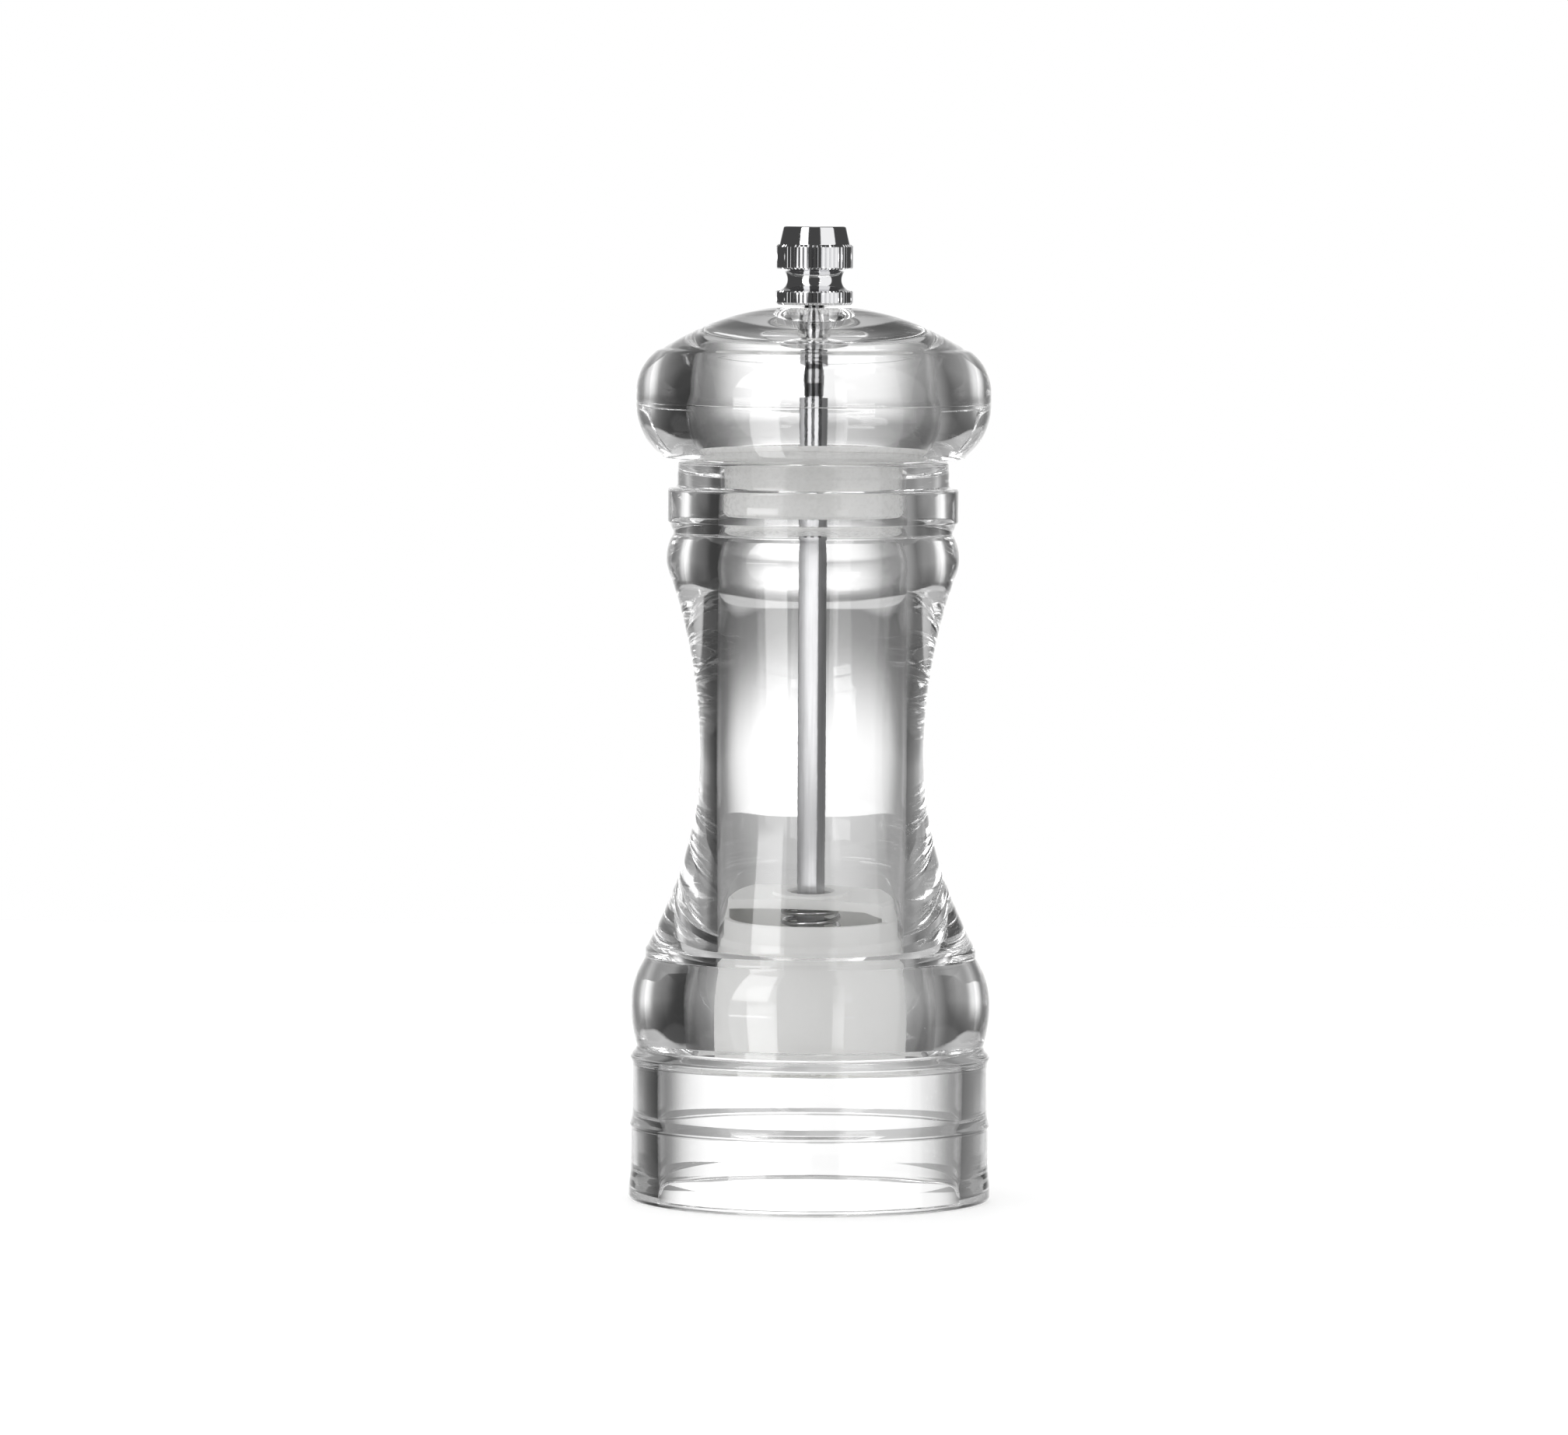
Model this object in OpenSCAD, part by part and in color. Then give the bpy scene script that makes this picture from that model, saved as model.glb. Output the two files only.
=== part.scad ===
// Pepper mill with a turned clear body.
// A knurled knob clamps the clear cap onto a square rod. Turning the cap
// drives the rod and the grinding cone hung on its lower end. Millimetres,
// Z up, foot on z = 0, front towards -Y.

/* [Body] */
// Height of the body from the foot to the neck's rim
body_h = 106; // [90:0.5:140]
// Radius of the pepper bore
bore_r = 13.6; // [10:0.1:15]
// Radius of the waist
waist_r = 16.05; // [15:0.05:20]
// Height of the waist
waist_z = 63.9; // [55:0.1:72]
// Radius of the skirt band
skirt_r = 25.7; // [22:0.1:30]
// Radius of the bead under the collar
bead_r = 21; // [19:0.1:24]
// Radius of the collar
collar_r = 20.85; // [19:0.05:24]
// Radius of the neck
neck_r = 19.45; // [17:0.05:21]
// Radius of the hollow foot
foot_bore_r = 21.8; // [19:0.1:23]
// Height of the hollow foot
foot_bore_h = 20.8; // [15:0.1:21]
// Radius of the recess for the mechanism's flange
recess_r = 20.9; // [18:0.1:21.5]
// Radius of the counterbore around the mechanism
counter_r = 18.1; // [16:0.1:19]
// Height of the counterbore's ceiling
counter_z = 34; // [30:0.1:35]

/* [Cap] */
// Height of the cap's lower rim
cap_z = 106.4; // [106.4:0.1:107]
// Largest radius of the cap
cap_r = 25.45; // [22:0.05:28]
// Radius of the cap's hollow
cavity_r = 18.3; // [16:0.1:19]
// Height of the hollow's ceiling
ceiling_z = 121; // [118:0.1:122]
// Radius of the hole for the rod's screw
cap_hole_r = 1.75; // [1.6:0.05:2.2]
// Radius of the plug's disc in the cap's hollow
plug_r = 18.2; // [15:0.1:18.9]
// Height of the disc's upper face
plug_top_z = 109.3; // [107.5:0.1:110]
// Radius of the plug's spigot in the neck
spigot_r = 12.9; // [10:0.1:13.2]
// Height of the spigot's lower face
spigot_z = 98.2; // [90:0.1:102]

/* [Knob] */
// Height of the knob's lower face
knob_z = 128.3; // [128.2:0.1:129]
// Height of the knob's top
knob_top_z = 139.5; // [137:0.1:142]
// Radius over the knurling
knob_r = 5.55; // [5:0.05:7]
// Number of knurl teeth
knurl_n = 54; // [30:2:72]

/* [Rod] */
// Side of the square rod
rod_side = 3.1; // [3:0.05:3.2]
// Turn of the square rod about its axis
rod_turn = -24; // [-45:1:45]
// Height of the top of the square part
rod_square_z = 116.7; // [115:0.1:116.8]
// Height of the screw's end inside the knob
screw_top_z = 135.4; // [133:0.1:136]
// Radius over the screw's thread
screw_r = 1.45; // [1.3:0.05:1.45]
// Pitch of the screw
screw_pitch = 0.5; // [0.4:0.05:0.7]

/* [Mechanism] */
// Radius of the housing in the counterbore
housing_r = 13.75; // [13.65:0.05:15]
// Radius of the housing's collar in the bore
housing_collar_r = 12.75; // [12.4:0.05:13.2]
// Height of the housing's mouth
mouth_z = 38.9; // [37:0.1:40]
// Radius of the housing's flange
flange_r = 16.1; // [15:0.1:17.5]
// Number of teeth round the stator
stator_n = 60; // [36:2:90]
// Number of fine teeth round the grinding cone
fine_n = 36; // [24:2:60]
// Number of coarse flutes round the grinding cone
flute_n = 7; // [4:1:10]
// Radius of the spring's coil, to the wire's centre
coil_r = 4.05; // [3.6:0.05:4.2]
// Radius of the spring's wire
wire_r = 0.4; // [0.3:0.05:0.5]
// Number of turns in the spring
coil_turns = 4.5; // [3:0.5:6]

/* [Hidden] */
facets = 160;
// Bridge over the mouth, and the washer that turns in its underside
bridge_lo = 40.3;
bridge_hi = 41.8;
bridge_r = 12.1;
washer_hi = bridge_lo + 0.2;
washer_lo = washer_hi - 0.5;
// Flange and retaining ring under the housing
flange_hi = 23.2;
flange_lo = 21.8;
ring_lo = 20.95;
ring_r = 15.5;
lip_r = 14;
// Grinding cone
cone_lo = 21.1;
cone_hi = 33.7;
cone_hub_r = 5.1;
cone_foot_r = 11.7;
cone_band_r = 11.05;
cone_band_z = 25.2;
hub_recess_r = 9.3;
hub_seat_z = 24.4;
stator_in_lo = 12.15;
stator_in_hi = 11.55;
// Square holes that turn with the rod but let it slide
slide_side = rod_side + 0.65;

// Points along an arc about [cr, cz], in radius and height
function arc(cr, cz, rad, a0, a1, n) =
    [for (i = [0:n]) let (a = a0 + (a1 - a0) * i / n) [cr + rad * cos(a), cz + rad * sin(a)]];

// Points along the hollow flanks above and below the waist
function flank(z0, z1, rise, reach, n) =
    [for (i = [0:n]) let (z = z0 + (z1 - z0) * i / n)
        [waist_r + rise * pow((z - waist_z) / reach, 2), z]];

// Outline of a wheel with n pointed teeth between two radii
function teeth(n, r_tip, r_root) =
    [for (i = [0:2 * n - 1]) let (a = 180 * i / n, r = i % 2 == 0 ? r_tip : r_root)
        [r * cos(a), r * sin(a)]];

// Outline of a wheel with n flat-topped teeth between two radii
function cogs(n, r_tip, r_root) =
    [for (i = [0:n - 1], k = [0:3]) let (a = 360 * (i + [0, 0.12, 0.5, 0.62][k]) / n,
        r = k == 1 || k == 2 ? r_tip : r_root) [r * cos(a), r * sin(a)]];

module turned(points, seg = facets) {
    rotate_extrude($fn = seg) polygon(points);
}

module barrel() {
    bulge_r = skirt_r + 0.05;
    color([0.93, 0.95, 0.96, 0.45])
    turned(concat(
        // hollow foot, recess, counterbore and bore, from the foot upwards
        [[foot_bore_r + 0.5, 0], [foot_bore_r, 0.5], [foot_bore_r, foot_bore_h],
         [recess_r, foot_bore_h], [recess_r, 23.3], [counter_r, 23.3],
         [counter_r, counter_z], [bore_r, counter_z], [bore_r, body_h - 0.5],
         [bore_r + 0.5, body_h]],
        // neck, collar and groove
        arc(neck_r - 0.5, body_h - 0.5, 0.5, 90, 0, 4),
        [[neck_r, 102.7], [neck_r + 0.25, 102.35]],
        arc(collar_r - 0.5, 101.7, 0.5, 70, 0, 4),
        arc(collar_r - 0.5, 97.5, 0.5, 0, -50, 4),
        [[bead_r - 0.6, 96.5], [bead_r - 0.95, 95.9], [bead_r - 1.02, 95.5]],
        // bead
        arc(bead_r - 6.8, 92.1, 6.8, 27, -25, 14),
        // flanks to the waist and down to the shoulder
        flank(88.9, waist_z, 3.9, 24.2, 18),
        flank(waist_z - 1.4, 36.6, 7.65, 27.8, 22),
        [[23.72, 35.9], [23.72, 34.9]],
        // bulge
        arc(bulge_r - 12.5, 28, 12.5, 32, 0, 12),
        arc(bulge_r - 20, 28, 20, -1.5, -16.8, 8),
        // upper groove
        [[24.92, 22.05], [25.18, 21.6], [25.5, 21.2]],
        arc(skirt_r - 0.3, 20.6, 0.38, 60, -20, 5),
        // hollow band between the grooves
        [[25.6, 19.3], [25.52, 18.3], [25.5, 17.4], [25.52, 16.4], [25.62, 15.4]],
        arc(skirt_r - 0.3, 14.55, 0.38, 20, -50, 5),
        // lower groove
        [[25.5, 13.6], [25.42, 13.1], [25.4, 12.75], [25.44, 12.3], [25.56, 11.8]],
        arc(skirt_r - 0.2, 11, 0.38, 50, -40, 5),
        // skirt and foot
        [[skirt_r, 10.2], [skirt_r, 4.2], [skirt_r + 0.12, 3.1], [skirt_r + 0.26, 2.1]],
        arc(skirt_r - 0.5, 0.8, 0.8, 20, -90, 8)
    ));
}

module grinder_housing() {
    color([0.94, 0.94, 0.92])
    turned([
        [11.9, mouth_z], [housing_collar_r - 0.12, mouth_z],
        [housing_collar_r, mouth_z - 1.2], [housing_collar_r, 35.9],
        [13.3, 35], [13.3, counter_z], [housing_r, counter_z], [housing_r, flange_hi + 0.2],
        [housing_r + 0.2, flange_hi], [flange_r - 0.15, flange_hi], [flange_r, flange_hi - 0.15],
        [flange_r, flange_lo], [12.35, flange_lo], [12.35, 29.2], [11.9, 29.6]
    ]);
}

module bridge() {
    color([0.95, 0.95, 0.93])
    rotate([0, 0, -10])
    difference() {
        intersection() {
            turned([[0, mouth_z], [bridge_r + 0.5, mouth_z], [bridge_r + 0.1, bridge_lo],
                    [bridge_r, bridge_hi - 0.35], [bridge_r - 0.5, bridge_hi],
                    [5.6, bridge_hi], [5.5, bridge_hi + 0.1], [5.5, bridge_hi + 0.35],
                    [5.4, bridge_hi + 0.45], [0, bridge_hi + 0.45]]);
            translate([-20, -6, 30]) cube([40, 12, 20]);
        }
        // the arch that leaves the bridge standing on its two feet
        translate([0, 10, 0]) rotate([90, 0, 0]) linear_extrude(height = 20)
            polygon([[-10.4, mouth_z - 1], [10.4, mouth_z - 1], [10.4, bridge_lo - 0.8],
                     [8.3, bridge_lo], [-10.4, bridge_lo]]);
        // seat for the washer
        translate([0, 0, bridge_lo - 1]) cylinder(h = 1.55, r = 5.2, $fn = 96);
        // hole for the rod, with an eased rim
        translate([0, 0, 40]) cylinder(h = 6, r = 3, $fn = 96);
        translate([0, 0, bridge_hi]) cylinder(h = 0.6, r1 = 3, r2 = 3.6, $fn = 96);
    }
}

module stator_ring() {
    color([0.9, 0.9, 0.88])
    difference() {
        union() {
            translate([0, 0, flange_lo]) cylinder(h = 28.6 - flange_lo, r = 12.35, $fn = facets);
            translate([0, 0, ring_lo]) linear_extrude(height = flange_lo - ring_lo)
                polygon(cogs(stator_n, lip_r, lip_r - 0.9));
        }
        // ridged throat, narrower towards the top
        intersection() {
            translate([0, 0, ring_lo - 1]) linear_extrude(height = 10)
                polygon(teeth(stator_n, 12.75, 11.9));
            turned([[0, ring_lo - 1], [stator_in_lo + 0.45, ring_lo - 1],
                    [stator_in_hi + 0.55, cone_band_z + 0.6], [0, cone_band_z + 0.6]]);
        }
        turned([[0, ring_lo - 1], [stator_in_lo, ring_lo - 1], [stator_in_lo, ring_lo],
                [stator_in_hi, cone_band_z + 0.4], [stator_in_hi, 27.6],
                [stator_in_hi + 0.4, 28.6], [stator_in_hi + 0.4, 29], [0, 29]]);
    }
}

module retaining_ring() {
    color([0.92, 0.92, 0.9])
    turned([[lip_r + 0.1, ring_lo], [ring_r - 0.2, ring_lo], [ring_r, ring_lo + 0.2],
            [ring_r, flange_lo], [lip_r + 0.1, flange_lo]]);
}

module thrust_washer() {
    color([0.8, 0.8, 0.78])
    difference() {
        translate([0, 0, washer_lo]) cylinder(h = washer_hi - washer_lo, r = 4.8, $fn = 96);
        rotate([0, 0, rod_turn]) translate([-slide_side / 2, -slide_side / 2, washer_lo - 1])
            cube([slide_side, slide_side, 3]);
    }
}

module shaft() {
    rings = floor((screw_top_z - rod_square_z - 1) / screw_pitch);
    low_rings = 5;
    color([0.78, 0.78, 0.8])
    union() {
        // square rod with eased corners
        rotate([0, 0, rod_turn]) intersection() {
            translate([-rod_side / 2, -rod_side / 2, hub_seat_z]) cube([rod_side, rod_side, rod_square_z - hub_seat_z]);
            translate([0, 0, hub_seat_z]) cylinder(h = rod_square_z - hub_seat_z, r = 2.1, $fn = 96);
        }
        // screw for the knob
        turned(concat(
            [[0, rod_square_z - 0.1], [screw_r - 0.22, rod_square_z - 0.1]],
            [for (i = [0:rings], k = [0:1])
                [k == 0 ? screw_r - 0.22 : screw_r, rod_square_z + 0.4 + screw_pitch * (i + k / 2)]],
            [[screw_r - 0.35, screw_top_z], [0, screw_top_z]]), 64);
        // screw for the nut
        turned(concat(
            [[0, 21.5], [screw_r - 0.35, 21.5]],
            [for (i = [0:low_rings], k = [0:1])
                [k == 0 ? screw_r : screw_r - 0.22, 21.75 + screw_pitch * (i + k / 2)]],
            [[screw_r - 0.22, hub_seat_z + 0.1], [0, hub_seat_z + 0.1]]), 64);
    }
}

module rotor() {
    color([0.9, 0.9, 0.88])
    difference() {
        union() {
            // fine-toothed band at the foot of the cone
            intersection() {
                translate([0, 0, cone_lo]) linear_extrude(height = cone_band_z - cone_lo)
                    polygon(teeth(fine_n, cone_foot_r, cone_foot_r - 0.95));
                turned([[0, cone_lo], [cone_foot_r - 0.15, cone_lo], [cone_foot_r, cone_lo + 0.3],
                        [cone_band_r, cone_band_z], [0, cone_band_z]]);
            }
            // cone and hub
            turned([[0, cone_lo], [cone_foot_r - 1, cone_lo], [cone_band_r - 0.85, cone_band_z],
                    [cone_band_r, cone_band_z], [cone_hub_r + 0.6, cone_hi - 1.4],
                    [cone_hub_r, cone_hi - 0.9], [cone_hub_r, cone_hi], [0, cone_hi]]);
        }
        // coarse slanting flutes
        for (i = [0:flute_n - 1])
            rotate([0, 0, 360 * i / flute_n]) translate([9.7, 0, 28.6])
                rotate([28, -34, 0]) translate([0, 0, -9]) cylinder(h = 18, r = 1.35, $fn = 40);
        // hollow underside round the hub
        turned([[0, cone_lo - 1], [hub_recess_r, cone_lo - 1], [hub_recess_r, cone_lo],
                [hub_recess_r - 0.8, hub_seat_z], [0, hub_seat_z]]);
        // square hole on the rod
        rotate([0, 0, rod_turn]) intersection() {
            translate([-rod_side / 2, -rod_side / 2, 20]) cube([rod_side, rod_side, 20]);
            translate([0, 0, 20]) cylinder(h = 20, r = 2.1, $fn = 96);
        }
    }
}

module spring() {
    lo = cone_hi + wire_r + 0.02;
    hi = washer_lo - wire_r - 0.05;
    steps = 28;
    sides = 10;
    last = floor(coil_turns * steps);
    // the end turns lie flat against their seats
    function height(i) = let (t = i / steps, free = coil_turns - 1.5,
        u = min(max((t - 0.75) / free, 0), 1)) lo + (hi - lo) * u;
    pts = [for (i = [0:last], k = [0:sides - 1])
        let (a = 360 * i / steps, b = 360 * k / sides, r = coil_r + wire_r * cos(b))
            [r * cos(a), r * sin(a), height(i) + wire_r * sin(b)]];
    skin = [for (i = [0:last - 1], k = [0:sides - 1]) let (n = (k + 1) % sides)
        each [[i * sides + k, i * sides + n, (i + 1) * sides + n],
              [i * sides + k, (i + 1) * sides + n, (i + 1) * sides + k]]];
    color([0.75, 0.76, 0.78])
    polyhedron(points = pts, faces = concat(skin,
        [[for (k = [sides - 1:-1:0]) k]], [[for (k = [0:sides - 1]) last * sides + k]]), convexity = 8);
}

module lower_washer() {
    color([0.72, 0.73, 0.75])
    turned([[screw_r + 0.1, hub_seat_z - 0.5], [3.6, hub_seat_z - 0.5], [3.6, hub_seat_z],
            [screw_r + 0.1, hub_seat_z]], 96);
}

module lower_nut() {
    color([0.72, 0.73, 0.75])
    difference() {
        translate([0, 0, hub_seat_z - 2.4]) cylinder(h = 1.9, r = 3.1, $fn = 6);
        translate([0, 0, hub_seat_z - 3]) cylinder(h = 4, r = screw_r, $fn = 64);
    }
}

module cap_shell() {
    color([0.93, 0.95, 0.96, 0.45])
    turned(concat(
        // screw hole, up through the boss to the knob's seat
        [[cap_hole_r, 117.6], [cap_hole_r, 127.95], [5.9, 127.95]],
        // dome, small ledge and rounded band
        arc(0, 88.4, 40, 81, 57.7, 14),
        [[21.9, 122.02], [22.5, 121.75]],
        arc(cap_r - 7.4, 115.8, 7.4, 50, 0, 12),
        arc(cap_r - 9.3, 114, 9.3, 0, -49, 12),
        [[21.9, cap_z + 0.15], [21.6, cap_z]],
        // hollow, ceiling and boss
        [[cavity_r, cap_z], [cavity_r, ceiling_z - 0.2], [cavity_r - 0.2, ceiling_z],
         [4.9, ceiling_z]],
        arc(1.9, 120.6, 3, 0, -84, 8)
    ));
}

module drive_plug() {
    color([0.93, 0.93, 0.91])
    difference() {
        turned([[0, spigot_z], [spigot_r - 0.4, spigot_z], [spigot_r, spigot_z + 0.4],
                [spigot_r, cap_z], [plug_r, cap_z], [plug_r, plug_top_z], [0, plug_top_z]]);
        rotate([0, 0, rod_turn]) translate([-slide_side / 2, -slide_side / 2, spigot_z - 1])
            cube([slide_side, slide_side, 14]);
    }
}

module knob() {
    band_z = knob_z + 5.1;
    band_hi = knob_z + 8.6;
    color([0.75, 0.76, 0.78])
    difference() {
        union() {
            // knurled bands above and below the finger groove
            intersection() {
                translate([0, 0, knob_z]) linear_extrude(height = band_hi - knob_z)
                    polygon(teeth(knurl_n, knob_r, knob_r - 0.28));
                turned(concat(
                    [[0, knob_z - 1], [knob_r - 0.35, knob_z - 1], [knob_r - 0.35, knob_z],
                     [knob_r + 0.05, knob_z + 0.35], [knob_r + 0.05, band_z - 3.35], [knob_r - 0.25, band_z - 3.1]],
                    arc(knob_r - 0.15, band_z - 1.55, 1.5, 255, 105, 12),
                    [[knob_r - 0.25, band_z], [knob_r + 0.05, band_z + 0.25], [knob_r + 0.05, band_hi - 0.35],
                     [knob_r - 0.35, band_hi], [knob_r - 0.35, band_hi + 1], [0, band_hi + 1]]), 96);
            }
            // tapered crown
            turned([[0, band_hi - 1], [knob_r - 0.5, band_hi - 1], [knob_r - 0.5, band_hi],
                    [4.5, knob_top_z - 0.25], [4.25, knob_top_z], [0, knob_top_z]], 96);
        }
        // threaded hole
        turned([[0, knob_z - 1], [screw_r + 0.35, knob_z - 1], [screw_r + 0.35, knob_z + 8.2],
                [0, knob_z + 9.2]], 64);
    }
}

barrel();
grinder_housing();
bridge();
stator_ring();
retaining_ring();
thrust_washer();
shaft();
rotor();
spring();
lower_washer();
lower_nut();
cap_shell();
drive_plug();
knob();
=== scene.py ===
# %% [markdown]
# # A turned clear pepper mill
#
# This notebook dresses the solid model of a pepper mill in its real looks: two thick pieces
# of clear acrylic turned on a lathe, a chromed knob, a steel rod and a milky plastic
# mechanism. Nearly every piece is a body of revolution, so the lesson is mostly about one
# Blender operator, spin, and about what makes clear plastic look like clear plastic: true
# inner walls, smooth normals and something worth refracting behind it.

# %% Load the solid model
import math
import bmesh
import bpy
from mathutils import Matrix, Vector


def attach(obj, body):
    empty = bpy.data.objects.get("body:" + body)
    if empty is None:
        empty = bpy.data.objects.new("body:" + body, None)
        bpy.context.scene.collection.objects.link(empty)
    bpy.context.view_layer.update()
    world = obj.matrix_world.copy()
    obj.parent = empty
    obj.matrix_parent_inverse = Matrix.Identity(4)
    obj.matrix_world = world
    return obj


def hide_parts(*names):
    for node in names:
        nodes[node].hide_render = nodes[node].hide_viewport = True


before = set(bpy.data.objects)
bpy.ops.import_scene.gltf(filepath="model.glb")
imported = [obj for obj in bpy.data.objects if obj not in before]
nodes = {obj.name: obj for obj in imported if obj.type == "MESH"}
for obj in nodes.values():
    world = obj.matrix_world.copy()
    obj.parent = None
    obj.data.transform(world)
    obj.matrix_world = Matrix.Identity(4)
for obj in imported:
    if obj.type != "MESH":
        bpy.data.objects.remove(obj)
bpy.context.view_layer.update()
MM = 0.001
print("solid model:", sorted(nodes))

# %% [markdown]
# ## Helpers for turned work
#
# A turner works from a profile: radius against height. An arc helper gives the rounded
# stretches enough points to look smooth. The profile is laid out as a chain of edges in a
# bmesh, and spin sweeps it round the Z axis. With use_merge a full turn closes on itself.
# Then doubles are merged and the normals recalculated, so that the shell faces outwards.

# %% Profile helpers
def arc(centre_r, centre_z, radius, start, end, steps):
    """Points [r, z] along an arc, angles in degrees, 0 pointing outwards and 90 up."""
    span = [math.radians(start + (end - start) * i / steps) for i in range(steps + 1)]
    return [[centre_r + radius * math.cos(a), centre_z + radius * math.sin(a)] for a in span]


def turned(profile, segments, closed=True):
    """Spins a profile, in millimetres, into a closed shell round the Z axis."""
    bm = bmesh.new()
    verts = [bm.verts.new((r * MM, 0, z * MM)) for r, z in profile]
    edges = [bm.edges.new(pair) for pair in zip(verts, verts[1:])]
    if closed:
        edges.append(bm.edges.new((verts[-1], verts[0])))
    bmesh.ops.spin(bm, geom=verts + edges, cent=(0, 0, 0), axis=(0, 0, 1),
                   angle=math.tau, steps=segments, use_merge=True)
    bmesh.ops.remove_doubles(bm, verts=bm.verts, dist=0.002 * MM)
    bmesh.ops.recalc_face_normals(bm, faces=bm.faces)
    return bm


def ease_rims(bm, width, angle=35, where=lambda r, z: True):
    """Bevels a turned piece's sharp rims, those for which where(r, z) holds."""
    rims = []
    for e in bm.edges:
        a, b = (v.co for v in e.verts)
        if abs(a.z - b.z) > 1e-7 or abs(a.xy.length - b.xy.length) > 1e-6:
            continue
        if e.is_manifold and math.degrees(e.calc_face_angle(0)) > angle:
            if where(a.xy.length / MM, a.z / MM):
                rims.append(e)
    bmesh.ops.bevel(bm, geom=rims, offset=width * MM, affect="EDGES", segments=3,
                    profile=0.5, material=-1, clamp_overlap=True)
    return len(rims)


def finished(bm, name, body, slot, *replaced, sharp=30):
    """Turns a bmesh into an object that rides on a body and stands for CAD nodes."""
    mesh = bpy.data.meshes.new(name)
    bm.to_mesh(mesh)
    bm.free()
    mesh.shade_smooth()
    mesh.set_sharp_from_angle(angle=math.radians(sharp))
    piece = bpy.data.objects.new(name, mesh)
    bpy.context.scene.collection.objects.link(piece)
    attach(piece, body)
    if replaced:
        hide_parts(*replaced)
    size = [round(d / MM, 2) for d in piece.dimensions]
    print(f"{name}: {len(mesh.polygons)} faces, {size} mm")
    return piece


# %% [markdown]
# ## The clear body
#
# The real body is one piece of cast acrylic: a bore for the pepper, a counterbore and a
# recess for the mechanism, and a hollow foot. Light bends at every one of those walls, so
# the shell has them all. The flanks above and below the waist are parabolas, and the bead,
# the bulge and the crest of the foot's upper ridge are arcs.

# %% Body profile
ROUND = 224
BORE_R = 13.6
COUNTER_R = 18.1
WAIST_R, WAIST_Z = 16.05, 63.9


def flank(z_from, z_to, rise, reach, steps):
    """A parabola that leaves the waist and gains rise over reach millimetres."""
    heights = [z_from + (z_to - z_from) * i / steps for i in range(steps + 1)]
    return [[WAIST_R + rise * ((z - WAIST_Z) / reach) ** 2, z] for z in heights]


inside = [[22.3, 0], [21.8, 0.5], [21.8, 20.8], [20.9, 20.8], [20.9, 23.3], [COUNTER_R, 23.3],
          [COUNTER_R, 34], [BORE_R, 34], [BORE_R, 105.5], [14.1, 106]]
neck = (arc(18.95, 105.5, 0.5, 90, 0, 6) + [[19.45, 102.7], [19.52, 102.5], [19.7, 102.35]]
        + arc(20.35, 101.7, 0.5, 80, 0, 6) + arc(20.35, 97.5, 0.5, 0, -50, 5)
        + [[20.4, 96.5], [20.05, 95.9], [19.98, 95.5]])
bead = arc(14.2, 92.1, 6.8, 27, -25, 24)
waist = flank(88.9, WAIST_Z, 3.9, 24.2, 44) + flank(WAIST_Z - 0.6, 36.6, 7.65, 27.8, 50)
bulge = ([[23.74, 36.2], [23.72, 35.9], [23.72, 35.2], [23.74, 34.85]]
         + arc(13.25, 28, 12.5, 31.5, 0, 20) + arc(5.75, 28, 20, -1.2, -16.8, 14))
upper_ridge = ([[24.92, 22.05], [24.98, 21.85], [25.18, 21.6], [25.5, 21.2]]
               + arc(25.4, 20.6, 0.37, 60, -20, 7) + [[25.62, 20.1], [25.52, 19.8]])
foot_wall = [[25.48, 19.5], [25.48, 13.2], [25.47, 12.9], [25.48, 12.6]]
lower_ridge = [[25.52, 12.25], [25.6, 11.8], [25.71, 11.35], [25.79, 11.1],
               [25.82, 10.95], [25.8, 10.8], [25.72, 10.65], [25.66, 10.5]]
skirt = ([[25.65, 10.2], [25.66, 4.6], [25.74, 3.6], [25.82, 3.1], [25.95, 2.1]]
         + arc(25.19, 0.8, 0.79, 15, -88, 12))
outer = neck + bead + waist + bulge + upper_ridge + foot_wall + lower_ridge + skirt
body = turned(inside + outer, ROUND)
print("rims eased:", ease_rims(body, 0.12, where=lambda r, z: r < 21))
barrel = finished(body, "barrel_clear", "mill_body", "clear_acrylic", "barrel", sharp=24)

# %% [markdown]
# ## The clear cap
#
# The cap is thick-walled like the body. Its dome meets the rounded band at a small ledge, and a
# fine raised line marks the band's widest height. Inside is a hollow with a flat ceiling,
# whose wall leans in towards the top, and a boss that hangs round the rod's screw. A thin
# white lid on the plug closes the hollow from below.

# %% Cap profile
CAP_LOW, CAP_TOP = 106.4, 127.95
CEILING = 121
dome = arc(0, 88.4, 40, 81.5, 57.8, 30)
ledge = [[21.6, 122.08], [21.9, 122.0], [22.3, 121.83], [22.55, 121.7]]
fine_line = [[25.44, 114.42], [25.475, 114.35], [25.44, 114.28]]
cap_band = arc(18.05, 115.8, 7.39, 49, 0, 20) + fine_line + arc(16.15, 114, 9.29, 0, -49, 20)
lower_rim = [[22.0, 106.7], [21.85, 106.5], [21.6, CAP_LOW]]
wall = [[18.3, CAP_LOW], [18.3, 112.5], [18.25, 114], [18.1, 115.3], [17.8, 116.6], [17.35, 117.8],
        [16.8, 118.8], [16.2, 119.6], [15.5, 120.3], [14.6, 120.85], [13.8, CEILING]]
boss = [[4.9, CEILING]] + arc(1.9, 120.6, 3, 0, -84, 14)
rod_hole = [[1.75, 117.6], [1.75, CAP_TOP], [5.85, CAP_TOP]]
cap = turned(rod_hole + dome + ledge + cap_band + lower_rim + wall + boss, ROUND)
print("rims eased:", ease_rims(cap, 0.1, where=lambda r, z: r < 18))
cap_clear = finished(cap, "cap_clear", "cap", "clear_acrylic", "cap_shell", sharp=24)

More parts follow.
